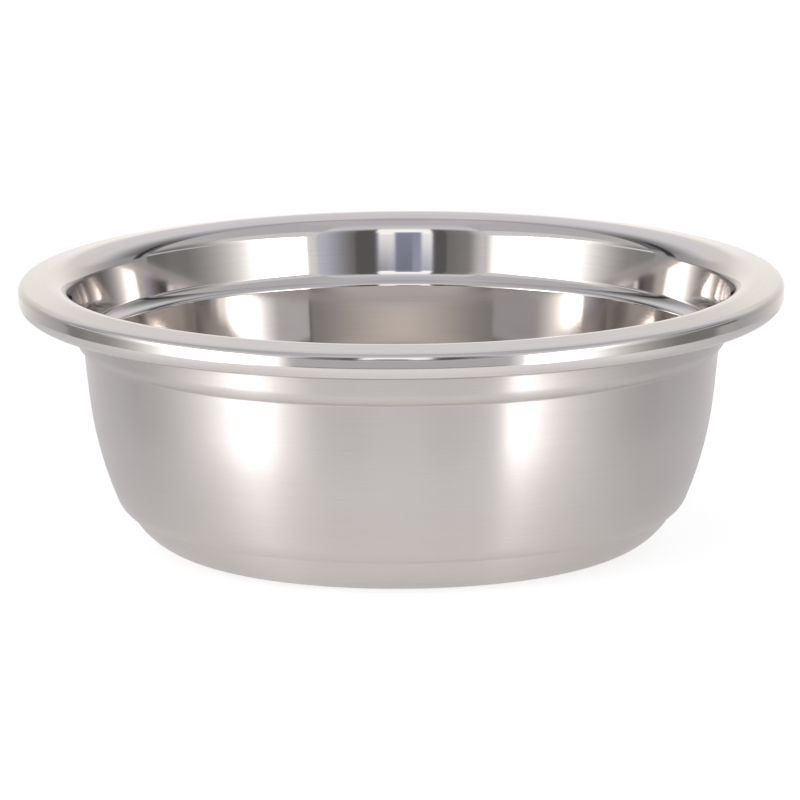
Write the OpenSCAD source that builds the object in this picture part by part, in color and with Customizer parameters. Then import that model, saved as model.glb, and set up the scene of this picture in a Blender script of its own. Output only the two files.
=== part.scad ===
// Round feeding bowl, deep drawn and rolled from one disc of stainless sheet.
// The bowl stands on the origin with its axis along +Z. Its section is a line of corners through
// the middle of the sheet, from the centre of the base, up the wall, over the rim and into the
// curl. Each corner is rounded by its own bend, and the sheet keeps one thickness all the way.

/* [Sheet] */
// Thickness of the steel
sheet_t = 1; // [0.6:0.1:1.4]

/* [Overall] */
// Diameter across the outside of the rim
rim_d = 260; // [230:5:320]
// Height from the table to the top of the rim
bowl_h = 93; // [80:1:130]

/* [Rim] */
// Width of the flange, from the line of the neck to the face of the lip
flange_w = 16.2; // [9:0.1:20]
// Fall of the flange across that width, so that it sheds water outwards
flange_fall = 2.5; // [0:0.1:3.5]
// Inside radius of the bend where the neck rolls over into the flange
crest_bend = 7; // [3:0.5:9]
// Inside radius of the bend from the flange into the lip
lip_bend = 1.7; // [0.5:0.1:3]
// Height of the rim, from its top to the underside of the curl
rim_h = 11; // [8:0.5:14]
// Inside radius of the curl that turns the cut edge in under the flange
curl_bend = 4; // [0.5:0.1:5]
// Straight stretch of sheet between the curl and the cut edge
curl_end = 1.5; // [0.5:0.1:2]
// Least clearance that the curl keeps from the neck beside it and from the flange above it
curl_gap = 2; // [1:0.1:3]

/* [Neck] */
// Height of the neck, from the line of the flange down to the shoulder
neck_h = 21.7; // [15:0.1:26]
// How far the neck draws in over that height
neck_draft = 4; // [3:0.2:12]

/* [Shoulder] */
// How far the shoulder steps in
shoulder_w = 2.5; // [1:0.1:4]
// Height of the step
shoulder_h = 2.1; // [1:0.1:4]
// Inside radius of the bend at the top of the step
shoulder_bend = 5.5; // [1:0.5:7]
// Inside radius of the bend at the foot of the step
step_bend = 1; // [0.5:0.1:2]

/* [Body] */
// How far the upright wall draws in, from the shoulder down to the belly
wall_draft = 3.8; // [2:0.1:8]
// Height above the table of the long bow in the wall
belly_h = 35.5; // [26:0.1:40]
// Radius of that bow
belly_bend = 125; // [60:5:150]
// How far the wall draws in from the belly to the turn above the foot
turn_draft = 8.6; // [5:0.1:11]
// Height of that turn
turn_h = 15.3; // [14.5:0.1:18]
// Radius of that turn
turn_bend = 10.3; // [5:0.1:12]

/* [Foot] */
// How far the wall draws in from the turn to the pressed crease
crease_draft = 3.4; // [2:0.1:5]
// Height of the crease
crease_h = 13.3; // [11:0.1:14]
// Inside radius of the crease
crease_bend = 0.8; // [0.5:0.1:1.5]
// How far the foot draws in from the crease to the corner of the base
foot_draft = 8.1; // [6:0.1:12]
// Radius of the knuckle between the foot and the flat of the base
knuckle_bend = 25.5; // [5:0.5:28]

/* [Base] */
// Width of the flat ring that the bowl stands on
ring_w = 7; // [3:0.5:12]
// Height of the raised panel inside the ring, which keeps the bowl from rocking
panel_rise = 1.5; // [0.5:0.1:3]
// Width of the slope between the ring and the panel
slope_w = 3; // [2:0.5:6]
// Inside radius of the two bends of that slope
slope_bend = 2.5; // [1:0.5:4]

/* [Hidden] */
// Steps in a full turn when the bowl is drawn on screen
$fn = 180;

half_t = sheet_t / 2;

// How far the arcs of a bend run past the straight sides, so that each crosses them cleanly
overrun = 0.001;

// Radii of the sheet's middle at each corner, worked out from the rim inwards
lip_r = rim_d / 2 - half_t;
crest_r = lip_r - flange_w + half_t;
shoulder_r = crest_r - neck_draft;
body_r = shoulder_r - shoulder_w;
belly_r = body_r - wall_draft;
turn_r = belly_r - turn_draft;
crease_r = turn_r - crease_draft;
foot_r = crease_r - foot_draft;
curl_r = max(lip_r - 2 * (curl_bend + half_t), crest_r + curl_gap);

// The flat of the base starts where the knuckle's bend ends
knuckle_back = setback([-1, 0], [crease_r - foot_r, crease_h - half_t], knuckle_bend);
ring_r = foot_r - knuckle_back - ring_w;
panel_r = ring_r - slope_w;

// Heights of the corners at the rim. The top of the crest's bend is bowl_h above the table.
crest_z = bowl_h - half_t - crest_over();
lip_z = crest_z - flange_fall;
shoulder_z = crest_z - neck_h;
body_z = shoulder_z - shoulder_h;
curl_z = bowl_h - rim_h + half_t;
edge_z = min(curl_z + curl_bend + half_t + curl_end, lip_z - half_t - curl_gap);

// Corners of the section, each as [radius, height, inside radius of its bend]
CORNERS = [
    [0, half_t + panel_rise, 0],
    [panel_r, half_t + panel_rise, slope_bend],
    [ring_r, half_t, slope_bend],
    [foot_r, half_t, knuckle_bend],
    [crease_r, crease_h, crease_bend],
    [turn_r, turn_h, turn_bend],
    [belly_r, belly_h, belly_bend],
    [body_r, body_z, step_bend],
    [shoulder_r, shoulder_z, shoulder_bend],
    [crest_r, crest_z, crest_bend],
    [lip_r, lip_z, lip_bend],
    [lip_r, curl_z, curl_bend],
    [curl_r, curl_z, curl_bend],
    [curl_r, edge_z, 0],
];
LAST = len(CORNERS) - 1;

function unit(v) = v / norm(v);
function point(i) = [CORNERS[i].x, CORNERS[i].y];
function leg(i) = point(i + 1) - point(i);
function left_of(v) = [-v.y, v.x];

// Angle that a path turns through between two directions, positive to the left
function turn_angle(a, b) = atan2(a.x * b.y - a.y * b.x, a.x * b.x + a.y * b.y);

// Length that a bend of a given inside radius takes from the leg on each side of its corner,
// where the legs leave the corner along a and b
function setback(a, b, inside_r) = (inside_r + half_t) / tan(abs(turn_angle(a, b)) / 2);

// How far the middle of the crest's bend rises above the crest's own corner, less than nothing
// because the bend cuts the corner off
function crest_over() =
    let (up = unit([neck_draft, neck_h]), out = unit([flange_w - half_t, -flange_fall]))
    let (r = crest_bend + half_t, to_centre = unit(out - up) * r / cos(turn_angle(up, out) / 2))
    to_centre.y + r;

// Setback that corner i asks for, and the part of it that the legs have room for
function wanted(i) =
    i == 0 || i == LAST ? 0 : setback(-leg(i - 1), leg(i), CORNERS[i].z);
function room(i) =
    min(1, norm(leg(i - 1)) / (wanted(i - 1) + wanted(i)), norm(leg(i)) / (wanted(i) + wanted(i + 1)));
function taken(i) = i == 0 || i == LAST ? 0 : wanted(i) * room(i);
function bend_r(i) = (CORNERS[i].z + half_t) * room(i);

// Where the bend at corner i starts and ends, and the centre that it bends about
function bend_start(i) = point(i) - unit(leg(i - 1)) * taken(i);
function bend_end(i) = point(i) + unit(leg(i)) * taken(i);
function swing(i) = turn_angle(leg(i - 1), leg(i));
function centre(i) = bend_start(i) + left_of(unit(leg(i - 1))) * sign(swing(i)) * bend_r(i);

// Square-cornered edge of the sheet at corner i, on its left (side 1) or on its right (side -1)
function edge_point(i, side) =
    let (a = left_of(unit(leg(max(i - 1, 0)))), b = left_of(unit(leg(min(i, LAST - 1)))))
    point(i) + (a + b) * side * half_t / (1 + a * b);

// The sheet with square corners
module folded() {
    right = [for (i = [0:LAST]) edge_point(i, -1)];
    left = [for (i = [LAST:-1:0]) edge_point(i, 1)];
    polygon(concat(right, left));
}

// The wedge that bend i fills, scaled about the bend's centre
module wedge(i, scaled) {
    ends = swing(i) > 0 ? [bend_start(i), bend_end(i)] : [bend_end(i), bend_start(i)];
    c = centre(i);
    polygon([c, c + (ends[0] - c) * scaled, c + (point(i) - c) * scaled, c + (ends[1] - c) * scaled]);
}

// Steel inside the square corner, up to the inner arc of the bend
module filling(i) {
    difference() {
        wedge(i, 1);
        translate(centre(i)) circle(bend_r(i) - half_t + overrun);
    }
}

// What the outer arc of the bend takes off the square corner
module trimming(i) {
    difference() {
        wedge(i, 1 + sheet_t / bend_r(i));
        translate(centre(i)) circle(bend_r(i) + half_t + overrun);
    }
}

module section() {
    difference() {
        union() {
            folded();
            for (i = [1:LAST - 1]) filling(i);
        }
        for (i = [1:LAST - 1]) trimming(i);
    }
}

// The whole bowl is one sheet
module bowl() {
    color("#c9c6c2") rotate_extrude() section();
}

bowl();
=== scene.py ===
"""Stainless dog bowl: one sheet, satin outside and polished inside, in a white studio."""

import math

import bpy
from mathutils import Matrix, Vector


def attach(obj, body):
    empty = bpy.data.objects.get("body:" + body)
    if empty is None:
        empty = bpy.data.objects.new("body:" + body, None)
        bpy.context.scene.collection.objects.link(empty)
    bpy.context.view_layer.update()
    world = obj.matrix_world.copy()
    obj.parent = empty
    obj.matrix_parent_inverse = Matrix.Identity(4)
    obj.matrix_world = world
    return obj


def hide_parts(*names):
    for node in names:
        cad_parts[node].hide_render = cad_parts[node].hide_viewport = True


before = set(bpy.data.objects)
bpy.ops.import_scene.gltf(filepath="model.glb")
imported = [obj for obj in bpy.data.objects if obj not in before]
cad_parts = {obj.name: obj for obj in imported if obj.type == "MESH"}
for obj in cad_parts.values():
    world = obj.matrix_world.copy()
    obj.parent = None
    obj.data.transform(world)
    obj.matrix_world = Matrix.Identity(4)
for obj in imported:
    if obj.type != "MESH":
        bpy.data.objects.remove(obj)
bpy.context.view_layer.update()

MM = 0.001


def rgb(*c):
    return (*c, 1.0)


WHITE = rgb(1, 1, 1)


def add_object(name, data):
    thing = bpy.data.objects.new(name, data)
    bpy.context.scene.collection.objects.link(thing)
    return thing


# Camera

PICTURE = 800  # pixels a side
SENSOR = 36.0  # mm
CLIP = (0.1, 60)
AXIS_POINT = Vector((0, 0, 91.6 * MM))  # point of the bowl's axis that the distance counts from
CAM_DISTANCE = 5.2
CAM_ELEVATION = math.radians(10.86)
PX_PER_MM = 2.9496  # at the axis point
AXIS_PX = (401.0, 280.5)  # where the axis point shows
ROLL = 0.0064  # radians, by which the bowl's right side stands higher in the picture


def make_camera():
    focal_px = PX_PER_MM * CAM_DISTANCE / MM
    data = bpy.data.cameras.new("camera")
    data.sensor_width = SENSOR
    data.lens = focal_px * SENSOR / PICTURE
    data.clip_start, data.clip_end = CLIP
    cam = add_object("camera", data)
    c, s = math.cos(CAM_ELEVATION), math.sin(CAM_ELEVATION)
    cam.location = AXIS_POINT + Vector((0, -c, s)) * CAM_DISTANCE
    # offset of the axis point from the middle of the picture, before the camera is rolled
    across, above = AXIS_PX[0] - PICTURE / 2, PICTURE / 2 - AXIS_PX[1]
    right = across * math.cos(ROLL) + above * math.sin(ROLL)
    up = above * math.cos(ROLL) - across * math.sin(ROLL)
    level = Vector((0, c, -s)).to_track_quat("-Z", "Y").to_matrix()
    pan = Matrix.Rotation(math.atan(right / focal_px), 3, "Y")
    tilt = Matrix.Rotation(-math.atan(up / focal_px), 3, "X")
    aim = pan @ tilt
    cam.rotation_mode = "QUATERNION"
    cam.rotation_quaternion = (level @ aim @ Matrix.Rotation(-ROLL, 3, "Z")).to_quaternion()
    bpy.context.scene.camera = cam


# Shape. All lengths are in mm: bends are inside radii, drafts are how far the sheet draws in.

SHEET = 1.0
HALF = SHEET / 2
RIM_D, BOWL_H = 260, 93
FLANGE_W, FLANGE_FALL, CREST_BEND, LIP_BEND = 16.2, 2.5, 7, 1.7
RIM_H, CURL_BEND, CURL_END = 11, 4, 1.5
NECK_H, NECK_DRAFT = 21.7, 4
SHOULDER_W, SHOULDER_H, SHOULDER_BEND, STEP_BEND = 2.5, 2.1, 5.5, 1
WALL_DRAFT, BELLY_H, BELLY_BEND = 3.8, 35.5, 125
TURN_DRAFT, TURN_H, TURN_BEND = 8.6, 15.3, 10.3
CREASE_DRAFT, CREASE_H, CREASE_BEND = 3.4, 13.3, 0.8
FOOT_DRAFT, KNUCKLE_BEND = 8.1, 25.5
RING_W, PANEL_RISE, SLOPE_W, SLOPE_BEND = 7, 1.5, 3, 2.5

# Fineness of the mesh
SEGMENTS = 240  # round the bowl
BEND_STEP = math.radians(5)
RUN_STEP = 7.0
SHORTEST_RUN = SHEET / 10
ON_AXIS = SHEET / 100  # a point closer to the axis than this lies on it

# Material slots of the sheet
SATIN, POLISHED = 0, 1


def turn_angle(a, b):
    return math.atan2(a.x * b.y - a.y * b.x, a.dot(b))


def setback(a, b, inside_r):
    """Length that a bend takes from the legs beside its corner, which leave it along a and b."""
    return (inside_r + HALF) / math.tan(abs(turn_angle(a, b)) / 2)


def corners():
    """Corners of the sheet's middle, from the base's centre to the cut edge inside the curl: radius,
    height, and inside radius of the bend."""
    lip_r = RIM_D / 2 - HALF
    crest_r = lip_r - FLANGE_W + HALF
    shoulder_r = crest_r - NECK_DRAFT
    body_r = shoulder_r - SHOULDER_W
    belly_r = body_r - WALL_DRAFT
    turn_r = belly_r - TURN_DRAFT
    crease_r = turn_r - CREASE_DRAFT
    foot_r = crease_r - FOOT_DRAFT
    curl_r = lip_r - 2 * (CURL_BEND + HALF)
    knuckle_leg = Vector((crease_r - foot_r, CREASE_H - HALF))
    ring_r = foot_r - setback(Vector((-1, 0)), knuckle_leg, KNUCKLE_BEND) - RING_W
    panel_r = ring_r - SLOPE_W
    # the crest's bend, and not its corner, reaches the top of the bowl
    up = Vector((NECK_DRAFT, NECK_H)).normalized()
    out = Vector((FLANGE_W - HALF, -FLANGE_FALL)).normalized()
    crest_bend = CREST_BEND + HALF
    to_centre = (out - up).normalized() * crest_bend / math.cos(turn_angle(up, out) / 2)
    crest_z = BOWL_H - HALF - (to_centre.y + crest_bend)
    lip_z = crest_z - FLANGE_FALL
    shoulder_z = crest_z - NECK_H
    body_z = shoulder_z - SHOULDER_H
    curl_z = BOWL_H - RIM_H + HALF
    return [
        (0, HALF + PANEL_RISE, 0),
        (panel_r, HALF + PANEL_RISE, SLOPE_BEND),
        (ring_r, HALF, SLOPE_BEND),
        (foot_r, HALF, KNUCKLE_BEND),
        (crease_r, CREASE_H, CREASE_BEND),
        (turn_r, TURN_H, TURN_BEND),
        (belly_r, BELLY_H, BELLY_BEND),
        (body_r, body_z, STEP_BEND),
        (shoulder_r, shoulder_z, SHOULDER_BEND),
        (crest_r, crest_z, CREST_BEND),
        (lip_r, lip_z, LIP_BEND),
        (lip_r, curl_z, CURL_BEND),
        (curl_r, curl_z, CURL_BEND),
        (curl_r, curl_z + CURL_BEND + HALF + CURL_END, 0),
    ]


def middle_line():
    """Points along the sheet's middle, each with the direction to the sheet's right there."""
    rows = corners()
    points = [Vector((r, z)) for r, z, _ in rows]
    radii = [inside_r + HALF for _, _, inside_r in rows]
    legs = [b - a for a, b in zip(points, points[1:])]
    turns = [0.0] + [turn_angle(a, b) for a, b in zip(legs, legs[1:])] + [0.0]
    taken = [r * math.tan(abs(turn) / 2) for r, turn in zip(radii, turns)]
    line = []

    def put(p, along):
        line.append((p, Vector((along.y, -along.x))))

    def put_run(start, end, along):
        length = (end - start).length
        steps = max(1, math.ceil(length / RUN_STEP))
        for k in range(steps if length > SHORTEST_RUN else 0):
            put(start.lerp(end, k / steps), along)

    def put_bend(start, along, turn, r):
        left = Vector((-along.y, along.x))
        centre = start + left * math.copysign(1, turn) * r
        steps = max(2, math.ceil(abs(turn) / BEND_STEP), math.ceil(abs(turn) * r / RUN_STEP))
        for k in range(steps):
            spin = Matrix.Rotation(turn * k / steps, 2)
            put(centre + spin @ (start - centre), spin @ along)

    at = points[0]
    for i, leg in enumerate(legs, 1):
        along = leg.normalized()
        end = points[i] - along * taken[i]
        put_run(at, end, along)
        if leg is legs[-1]:
            put(end, along)
        else:
            put_bend(end, along, turns[i], radii[i])
            at = points[i] + legs[i].normalized() * taken[i]
    return line


def turn_round(loop):
    """Vertices and normals of the section turned round the axis, and the ring that each point makes."""
    verts, normals, rings = [], [], []
    for p, n, _ in loop:
        first = len(verts)
        if p.x < ON_AXIS:
            verts.append((0, 0, p.y * MM))
            normals.append((0, 0, n.y))
            rings.append([first] * (SEGMENTS + 1))
            continue
        for k in range(SEGMENTS):
            angle = math.tau * k / SEGMENTS
            c, s = math.cos(angle), math.sin(angle)
            verts.append((p.x * c * MM, p.x * s * MM, p.y * MM))
            normals.append((n.x * c, n.x * s, n.y))
        rings.append([first + k % SEGMENTS for k in range(SEGMENTS + 1)])
    return verts, normals, rings


def join_rings(loop, rings):
    """Faces between the rings, the finish of each, and the map that unrolls the sheet."""
    travel = [0.0]
    for (a, _, _), (b, _, _) in zip(loop, loop[1:]):
        travel.append(travel[-1] + (b - a).length)
    faces, finishes, uvs = [], [], []
    for j in range(len(loop) - 1):
        low, high = rings[j], rings[j + 1]
        v0, v1 = travel[j] / travel[-1], travel[j + 1] / travel[-1]
        for k in range(SEGMENTS):
            face = [low[k], low[k + 1], high[k + 1], high[k]]
            uv = [(k, v0), (k + 1, v0), (k + 1, v1), (k, v1)]
            keep = [q for q in range(4) if face[q] != face[q - 1]]  # three of them on the axis
            faces.append([face[q] for q in keep])
            finishes.append(loop[j + 1][2])
            uvs.extend((uv[q][0] / SEGMENTS, uv[q][1]) for q in keep)
    return faces, finishes, uvs


def make_bowl():
    line = middle_line()
    outside = [(p + n * HALF, n, SATIN) for p, n in line]
    inside = [(p - n * HALF, -n, POLISHED) for p, n in reversed(line)]
    # once round the section: outside from the base's centre to the cut edge, then back inside
    loop = outside + inside
    verts, normals, rings = turn_round(loop)
    faces, finishes, uvs = join_rings(loop, rings)
    mesh = bpy.data.meshes.new("bowl_sheet")
    mesh.from_pydata(verts, [], faces)
    layer = mesh.uv_layers.new(name="UVMap")
    for slot, uv in zip(layer.data, uvs):
        slot.uv = uv
    for face, finish in zip(mesh.polygons, finishes):
        face.material_index = finish
        face.use_smooth = True
    mesh.update()
    # the section's own normals, so that reflections run on through the bends
    cut_edge = len(outside) - 1
    corner_normals = []
    for face in mesh.polygons:
        sharp = face.index // SEGMENTS == cut_edge
        for corner in face.vertices:
            corner_normals.append(tuple(face.normal) if sharp else normals[corner])
    mesh.normals_split_custom_set(corner_normals)
    return add_object("bowl_sheet", mesh)


# Node helpers


class Graph:
    """Builds the node tree of a material or world by formula. A value that goes into a node is a
    number, a colour or the socket of another node."""

    def __init__(self, owner):
        owner.use_nodes = True
        self.tree = owner.node_tree
        self.tree.nodes.clear()

    def node(self, kind, **settings):
        n = self.tree.nodes.new(kind)
        for key, value in settings.items():
            setattr(n, key, value)
        return n

    def plug(self, socket, value):
        if isinstance(value, bpy.types.NodeSocket):
            self.tree.links.new(value, socket)
        else:
            socket.default_value = value

    def feed(self, kind, *values, **settings):
        """First output of a new node whose inputs get the values in order."""
        n = self.node(kind, **settings)
        for socket, value in zip(n.inputs, values):
            self.plug(socket, value)
        return n.outputs[0]

    def feed_by_name(self, kind, values):
        """First output of a new node whose inputs get the values by name."""
        n = self.node(kind)
        for name, value in values.items():
            self.plug(n.inputs[name], value)
        return n.outputs[0]

    def math(self, op, *values):
        return self.feed("ShaderNodeMath", *values, operation=op)

    def add(self, a, b):
        return self.math("ADD", a, b)

    def times(self, a, b):
        return self.math("MULTIPLY", a, b)

    def ramp(self, value, low, high, to_low=0.0, to_high=1.0):
        """Smooth step of a value, from to_low at low up or down to to_high at high."""
        values = (value, low, high, to_low, to_high)
        return self.feed("ShaderNodeMapRange", *values, interpolation_type="SMOOTHSTEP")

    def band(self, value, low, high, soft):
        """1 between low and high, 0 outside, with soft edges."""
        up = self.ramp(value, low - soft, low + soft)
        down = self.ramp(value, high - soft, high + soft)
        return self.math("SUBTRACT", up, down)

    def bands(self, value, first, second):
        return self.add(self.band(value, *first), self.band(value, *second))

    def output(self, kind, shader):
        self.plug(self.node("ShaderNodeOutput" + kind).inputs[0], shader)

    def between(self, kind, factor, a, b):
        """Value between a and b, which are of the kind Float or Color."""
        n = self.node("ShaderNodeMix", data_type="RGBA" if kind == "Color" else "FLOAT")
        for name, value in (("Factor_Float", factor), ("A_" + kind, a), ("B_" + kind, b)):
            self.plug(next(s for s in n.inputs if s.identifier == name), value)
        return next(s for s in n.outputs if s.identifier == "Result_" + kind)

    def mix(self, factor, a, b):
        return self.between("Color", factor, a, b)

    def blend(self, factor, a, b):
        return self.between("Float", factor, a, b)

    def noise(self, vector, detail, roughness):
        values = {"Vector": vector, "Scale": 1.0, "Detail": detail, "Roughness": roughness}
        return self.feed_by_name("ShaderNodeTexNoise", values)

    def coordinates(self, kind):
        """x, y and z of the point or direction that is shaded."""
        split = self.node("ShaderNodeSeparateXYZ")
        self.plug(split.inputs[0], self.node("ShaderNodeTexCoord").outputs[kind])
        return tuple(split.outputs)

    def ray(self, kind):
        """1 for the rays of a kind, such as Camera or Glossy, and 0 for others."""
        return self.node("ShaderNodeLightPath").outputs[f"Is {kind} Ray"]

    def glow(self, tint, strength):
        return self.feed("ShaderNodeEmission", tint, strength)

    def see_through(self, factor, shader):
        """The shader, transparent where the factor is 1."""
        clear = self.feed("ShaderNodeBsdfTransparent")
        return self.feed("ShaderNodeMixShader", factor, shader, clear)

    def radius(self, x, y):
        return self.math("SQRT", self.add(self.times(x, x), self.times(y, y)))


def new_material(name):
    mat = bpy.data.materials.new(name)
    return mat, Graph(mat)


# Steel

SATIN_STEEL = {
    "color": (0.655, 0.612, 0.59),
    "roughness": 0.30,
    "lip_roughness": 0.30,
    "anisotropy": 0.95,
    "hair_scale": 1800,
    "hair_bump": 0.04,
    "wave_bump": 0.015,
}
POLISHED_STEEL = {
    "color": (0.69, 0.65, 0.625),
    "roughness": 0.06,
    "lip_roughness": 0.12,
    "anisotropy": 0.5,
    "hair_scale": 1500,
    "hair_bump": 0.006,
    "wave_bump": 0.008,
}
LIP_R = (127 * MM, 129 * MM)  # radii between which the lip's finish takes over
# Hairlines and waves: how fast they change round the axis and across it, and their noise's detail
# and roughness
HAIR_ROUND, HAIR_NOISE = 3.0, (3.0, 0.6)
WAVE_ROUND, WAVE_SCALE, WAVE_NOISE = 1.5, 60, (2.0, 0.5)
MARKS = (0.3, 0.7)  # levels of the noise between which a mark goes from none to full
HAIR_SHADE = 0.965  # share of the colour that is left in a hairline
HAIR_ROUGHER, WAVE_ROUGHER = 0.06, 0.03  # shares by which they change the roughness
HAIR_DEPTH, WAVE_DEPTH = 0.02 * MM, 0.1 * MM
QUARTER_TURN = 0.25
NEAR_AXIS = 0.01 * MM  # keeps a division off zero


def turned_coords(g, place, round_scale, across_scale):
    """Coordinates that run slowly round the axis and fast across it, for marks that a lathe leaves."""
    x, y, z = place
    r = g.math("MAXIMUM", g.radius(x, y), NEAR_AXIS)
    round_x = g.times(g.math("DIVIDE", x, r), round_scale)
    round_y = g.times(g.math("DIVIDE", y, r), round_scale)
    return g.feed("ShaderNodeCombineXYZ", round_x, round_y, g.times(g.add(r, z), across_scale))


def bump(g, strength, depth, height, normal=None):
    values = {"Strength": strength, "Distance": depth, "Height": height}
    if normal is not None:
        values["Normal"] = normal
    return g.feed_by_name("ShaderNodeBump", values)


def steel(name, color, roughness, lip_roughness, anisotropy, hair_scale, hair_bump, wave_bump):
    """Steel with turned hairlines and a slow waviness, in colour, roughness and bump."""
    mat, g = new_material(name)
    place = g.coordinates("Object")
    hairs = g.noise(turned_coords(g, place, HAIR_ROUND, hair_scale), *HAIR_NOISE)
    waves = g.noise(turned_coords(g, place, WAVE_ROUND, WAVE_SCALE), *WAVE_NOISE)
    level = g.ramp(g.radius(place[0], place[1]), *LIP_R, roughness, lip_roughness)
    for marks, share in ((hairs, HAIR_ROUGHER), (waves, WAVE_ROUGHER)):
        level = g.add(level, g.ramp(marks, *MARKS, -share * roughness, share * roughness))
    shade = rgb(*(c * HAIR_SHADE for c in color))
    values = {
        "Metallic": 1.0,
        "Base Color": g.mix(g.ramp(hairs, *MARKS), shade, rgb(*color)),
        "Roughness": level,
        "Anisotropic": anisotropy,
        "Anisotropic Rotation": QUARTER_TURN,
        "Tangent": g.feed("ShaderNodeTangent", direction_type="RADIAL", axis="Z"),
        "Normal": bump(g, hair_bump, HAIR_DEPTH, hairs, bump(g, wave_bump, WAVE_DEPTH, waves)),
    }
    g.output("Material", g.feed_by_name("ShaderNodeBsdfPrincipled", values))
    return mat


# Studio. Below, a band is where it starts, where it ends, and how soft its edges are. A fade is
# where it starts, where it ends, and its levels there, and where no levels are given it goes
# from 0 to 1. A level of light is a share of plain white.

UPPER_TINT = rgb(0.98, 0.99, 1.06)

# The room round the light tent, by direction, in degrees: turns count from the camera's side to
# the right, sides from there both ways, and rises from the horizon up.
ROOM_TINT, BACKDROP_TINT = rgb(0.98, 0.99, 1.04), rgb(1.0, 0.97, 0.94)
HORIZON = (-4, 5)
FAR_WALL = (-22, -8, 0.25, 0.40)  # by turn, above the horizon
TABLE_EDGE = (-12.5, -11.5, 0.33, 0.69)  # by rise, below the horizon
FAR_POSTS = ((9.5, 16, 1), (-16.5, -13, 0.8))
FAR_POST_SHADE = 0.7
CEILING_RISE, CEILING = (36, 44), 0.66
BACKDROP_SIDE = (96, 102)  # where it takes over from the wall
BACKDROP_LOW = (110, 180, 0.42, 1.03)  # by side, as are the next two
BACKDROP_MIDDLE = (105, 145, 0.18, 0.88)
BACKDROP_HIGH = (105, 145, 0.50, 0.86)
MIDDLE_RISE, HIGH_RISE = (14, 22), (38, 60)
BACK_POLES = ((104, 108.5, 1), (-113, -107.5, 1))
POLE_RISE, POLE_LEVEL = (8, 36, 4), 0.06
ZENITH_RISE, ZENITH = (76, 88), 0.57
BACKDROP_TINT_SIDE, UPPER_TINT_RISE = (120, 150), (15, 40)


def room_level(g, turn, side, rise):
    """Light of the room: a dim wall with posts past a table, and a pale backdrop behind the bowl."""
    above = g.ramp(rise, *HORIZON)
    wall = g.blend(above, g.ramp(rise, *TABLE_EDGE), g.ramp(turn, *FAR_WALL))
    posts = g.times(g.bands(turn, *FAR_POSTS), g.times(above, FAR_POST_SHADE))
    wall = g.times(wall, g.math("SUBTRACT", 1.0, posts))
    wall = g.blend(g.ramp(rise, *CEILING_RISE), wall, CEILING)
    back = g.ramp(side, *BACKDROP_LOW)
    back = g.blend(g.ramp(rise, *MIDDLE_RISE), back, g.ramp(side, *BACKDROP_MIDDLE))
    back = g.blend(g.ramp(rise, *HIGH_RISE), back, g.ramp(side, *BACKDROP_HIGH))
    level = g.blend(g.ramp(side, *BACKDROP_SIDE), wall, back)
    poles = g.times(g.bands(turn, *BACK_POLES), g.band(rise, *POLE_RISE))
    level = g.blend(poles, level, POLE_LEVEL)
    return g.blend(g.ramp(rise, *ZENITH_RISE), level, ZENITH)


def make_world():
    """The room by direction. The camera itself sees plain white."""
    world = bpy.data.worlds.new("studio")
    bpy.context.scene.world = world
    g = Graph(world)
    x, y, z = g.coordinates("Generated")
    turn = g.math("DEGREES", g.math("ARCTAN2", x, g.times(y, -1.0)))
    side = g.math("ABSOLUTE", turn)
    rise = g.math("DEGREES", g.math("ARCSINE", z))
    tint = g.mix(g.ramp(side, *BACKDROP_TINT_SIDE), ROOM_TINT, BACKDROP_TINT)
    tint = g.mix(g.ramp(rise, *UPPER_TINT_RISE), tint, UPPER_TINT)
    camera_ray = g.ray("Camera")
    tint = g.mix(camera_ray, tint, WHITE)
    level = g.blend(camera_ray, room_level(g, turn, side, rise), 1.0)
    g.output("World", g.feed("ShaderNodeBackground", tint, level))


# The light tent: two side walls, and the room behind the camera where its front is open
TENT_X = 0.56  # half of its width
TENT_BACK, TENT_FRONT = 0.19, -0.92
TENT_FOOT, TENT_TOP, FRONT_FOOT = -0.35, 1.8, 0.20

# Side walls. Places count in half widths of the tent: forward from the bowl's axis, and up from
# the table. A softbox dims by `slope` behind its `peak`, and `bright` and `front_end` are fades
# by place forward. `rear` gives the wall's levels low and high behind the bowl, and `least` is
# the least level further forward.
LEFT_SOFTBOX = {
    "peak": 0.75,
    "slope": 3.9,
    "bright": (0.80, 1.25, 6.2, 1.85),
    "front_end": (1.36, 1.62, 1.0, 0.4),
    "rear": (0.27, 0.30),
    "least": 0.34,
    "strip_level": 0.9,
}
RIGHT_SOFTBOX = {
    "peak": 1.13,
    "slope": 3.2,
    "bright": (1.34, 1.42, 6.0, 0.91),
    "front_end": (1.5, 1.64, 1.0, 0.9),
    "rear": (0.50, 0.20),
    "least": 0.24,
    "strip_level": 0.66,
}
SOFTBOX_LEAN = 0.39  # how much further back the light reaches with height
SOFTBOX_TOP = (0.50, 0.58, 6.0, 0.85)  # fade of the most that the wall gives, by height
REAR_END, REAR_RISE = (-0.2, -0.12), (0.05, 0.18)
ROOF_SLOPE, ROOF_EDGE, ROOF_LEVEL = 0.45, (0.55, 0.85), 0.62  # its edge rises forward
STRIP_RISE, STRIP_RUN, STRIP_TINT = (0.33, 0.44, 0.03), (-0.45, 0.40, 0.1), rgb(0.95, 1.0, 1.07)
WALL_TINT_RISE = (0.8, 1.2)


def make_tent_wall(name, low_corners, paint):
    """A wall of the light tent on its two low corners. `paint` gives its light and its tint by place,
    and the camera sees through it."""
    (x0, y0, _), (x1, y1, _) = low_corners
    mesh = bpy.data.meshes.new(name)
    mesh.from_pydata([*low_corners, (x1, y1, TENT_TOP), (x0, y0, TENT_TOP)], [], [(0, 1, 2, 3)])
    wall = add_object(name, mesh)
    mat, g = new_material(name)
    level, tint = paint(g, *g.coordinates("Object"))
    g.output("Material", g.see_through(g.ray("Camera"), g.glow(tint, level)))
    mesh.materials.append(mat)


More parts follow.
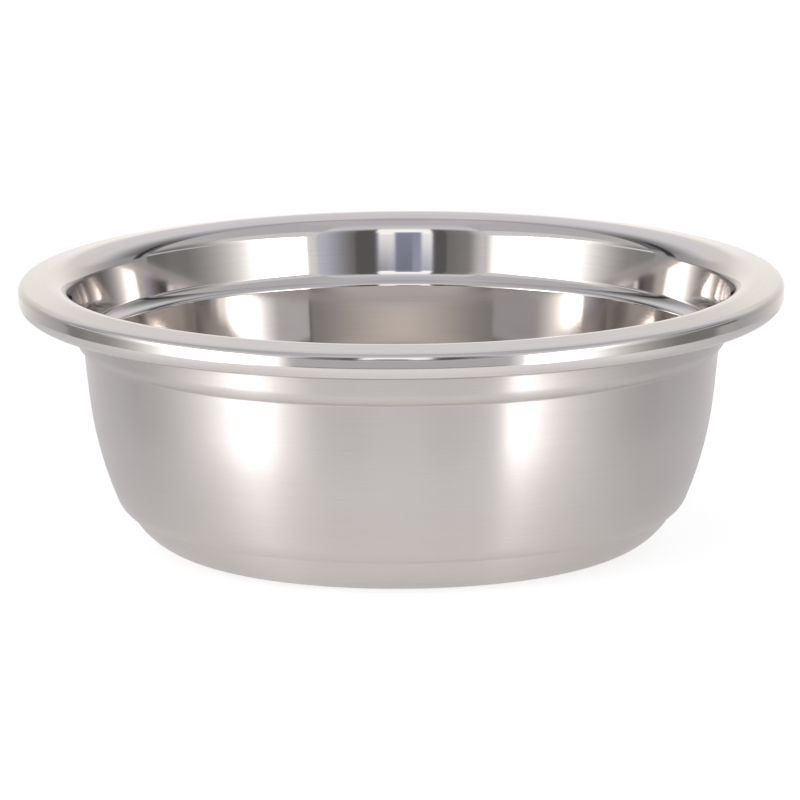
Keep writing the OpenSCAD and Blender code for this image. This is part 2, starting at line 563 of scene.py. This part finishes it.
def make_side_wall(name, x, peak, slope, bright, front_end, rear, least, strip_level):
    """A side wall, lit from outside by a softbox, with a lit strip and with the roof above."""

    def paint(g, _, y, z):
        forward = g.times(y, -1 / TENT_X)
        up = g.math("MAXIMUM", g.times(z, 1 / TENT_X), 0.0)
        leant = g.math("MULTIPLY_ADD", up, SOFTBOX_LEAN, forward)
        behind = g.math("MINIMUM", g.math("SUBTRACT", leant, peak), 0.0)
        level = g.times(g.math("EXPONENT", g.times(behind, slope)), g.ramp(forward, *bright))
        level = g.times(level, g.ramp(forward, *front_end))
        rest = g.blend(g.ramp(forward, *REAR_END), g.ramp(up, *REAR_RISE, *rear), least)
        level = g.math("MAXIMUM", level, rest)
        over_roof = g.math("MULTIPLY_ADD", forward, -ROOF_SLOPE, up)
        level = g.blend(g.ramp(over_roof, *ROOF_EDGE), level, ROOF_LEVEL)
        level = g.math("MINIMUM", level, g.ramp(up, *SOFTBOX_TOP))
        strip = g.times(g.band(up, *STRIP_RISE), g.band(forward, *STRIP_RUN))
        level = g.math("MAXIMUM", level, g.times(strip, strip_level))
        tint = g.mix(strip, WHITE, STRIP_TINT)
        return level, g.mix(g.ramp(up, *WALL_TINT_RISE), tint, UPPER_TINT)

    make_tent_wall(name, [(x, TENT_BACK, TENT_FOOT), (x, TENT_FRONT, TENT_FOOT)], paint)


# The room behind the camera. Places are in metres: across to the right, and up from the table.
ROOM_RIGHT = (0.22, 0.60, 0.15, 0.72)
ROOM_LEFT = (-0.55, -0.42, 0.75, 0.28)
ROOM_LEFT_INNER, ROOM_LEFT_LEVEL = (-0.42, -0.29), 0.22
ROOM_HALVES = (-0.01, 0.01)
NEAR_POSTS, NEAR_POST_LEVEL = ((0.145, 0.28, 0.012), (-0.285, -0.205, 0.008)), 0.13
MIDDLE = (-0.195, 0.15, 0.01)
TABLE_LEVEL = 0.27
LEFT_CLOTH, LEFT_CLOTH_LEVEL = (-0.20, -0.07, 0.01), 0.20
RIGHT_CLOTH, RIGHT_CLOTH_LEVEL = (0.03, 0.08, 0.01), 0.10
TABLE_TOP, BETWEEN_LAMPS = (0.262, 0.274), 0.40
LAMPS, LAMP_LEVEL = ((0.035, 0.135, 0.012), (-0.195, -0.125, 0.012)), 1.4
LAMP_FOOT, ALL_LAMP = (0.262, 0.270), (0.40, 0.50)
ROOM_TOP, ROOM_TOP_FADE = (0.62, 1.0), (0.9, 1.7, 0.84, 0.70)
MIDDLE_TINT = rgb(0.88, 0.95, 1.25)
RIGHT_TINT, RIGHT_TINT_X = rgb(0.95, 1.0, 1.15), (0.3, 0.4)


def paint_front(g, x, _, z):
    """A dim room, with two lamps between dark posts, over the edge of a table."""
    right = g.ramp(x, *ROOM_RIGHT)
    left = g.blend(g.ramp(x, *ROOM_LEFT_INNER), g.ramp(x, *ROOM_LEFT), ROOM_LEFT_LEVEL)
    level = g.blend(g.ramp(x, *ROOM_HALVES), left, right)
    level = g.blend(g.bands(x, *NEAR_POSTS), level, NEAR_POST_LEVEL)
    table = g.math("MULTIPLY_ADD", g.band(x, *LEFT_CLOTH), LEFT_CLOTH_LEVEL, TABLE_LEVEL)
    table = g.math("MULTIPLY_ADD", g.band(x, *RIGHT_CLOTH), RIGHT_CLOTH_LEVEL, table)
    table = g.blend(g.ramp(z, *TABLE_TOP), table, BETWEEN_LAMPS)
    lamps = g.math("MAXIMUM", g.bands(x, *LAMPS), g.ramp(z, *ALL_LAMP))
    lamps = g.times(lamps, g.ramp(z, *LAMP_FOOT))
    middle = g.band(x, *MIDDLE)
    level = g.blend(middle, level, g.blend(lamps, table, LAMP_LEVEL))
    tint = g.mix(g.times(middle, g.math("SUBTRACT", 1.0, lamps)), WHITE, MIDDLE_TINT)
    tint = g.mix(g.ramp(x, *RIGHT_TINT_X), tint, RIGHT_TINT)
    top = g.ramp(z, *ROOM_TOP)
    return g.blend(top, level, g.ramp(z, *ROOM_TOP_FADE)), g.mix(top, tint, UPPER_TINT)


# The floor, in metres
FLOOR_REACH = 12.0
TABLE_R, TABLE_SOFT = 0.37, 0.02
FLOOR_DIFFUSE = rgb(0.55, 0.55, 0.55)
FLOOR_GLOW = 0.7  # brings it up to white for the camera
FLOOR_MIRRORED_PAINTED_LIGHT = (-0.16, 0.0, 0.51, 0.32)  # painted light that only the steel's reflections see, by place from front to back, brighter in front
FLOOR_NEAR_PAINTED_LIGHT = (0.10, 0.135, 0.09, 0.0)  # and how much more painted light, by distance from the axis, brighter close round the bowl


def make_floor():
    """The floor, white with the bowl's shadow. The steel sees a round table with light painted on it,
    brighter in front and close round the bowl, and the room past it.
    """
    mesh = bpy.data.meshes.new("floor")
    ends = [(-1, -1), (1, -1), (1, 1), (-1, 1)]
    mesh.from_pydata([(FLOOR_REACH * x, FLOOR_REACH * y, 0) for x, y in ends], [], [(0, 1, 2, 3)])
    floor = add_object("floor", mesh)
    mat, g = new_material("floor_white")
    x, y, _ = g.coordinates("Object")
    distance = g.radius(x, y)
    glossy_ray = g.ray("Glossy")
    # painted light on the floor, for glossy rays only: brighter in front and close round the bowl
    mirrored_painted_light = g.add(g.ramp(y, *FLOOR_MIRRORED_PAINTED_LIGHT), g.ramp(distance, *FLOOR_NEAR_PAINTED_LIGHT))
    level = g.math("MULTIPLY_ADD", glossy_ray, mirrored_painted_light, g.times(g.ray("Camera"), FLOOR_GLOW))
    diffuse = g.feed("ShaderNodeBsdfDiffuse", FLOOR_DIFFUSE)
    both = g.feed("ShaderNodeAddShader", diffuse, g.glow(WHITE, level))
    past = g.times(g.ramp(distance, TABLE_R - TABLE_SOFT, TABLE_R + TABLE_SOFT), glossy_ray)
    g.output("Material", g.see_through(past, both))
    mesh.materials.append(mat)


# Build

make_camera()
bowl = make_bowl()
bowl.data.materials.append(steel("satin_steel", **SATIN_STEEL))
bowl.data.materials.append(steel("polished_steel", **POLISHED_STEEL))
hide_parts("bowl")
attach(bowl, "root")
make_floor()
make_side_wall("tent_left", -TENT_X, **LEFT_SOFTBOX)
make_side_wall("tent_right", TENT_X, **RIGHT_SOFTBOX)
front_corners = [(-TENT_X, TENT_FRONT, FRONT_FOOT), (TENT_X, TENT_FRONT, FRONT_FOOT)]
make_tent_wall("tent_front", front_corners, paint_front)
make_world()

scene = bpy.context.scene
scene.view_settings.view_transform = "Standard"
scene.cycles.glossy_bounces = 10  # light crosses the inside of the bowl many times at its two ends
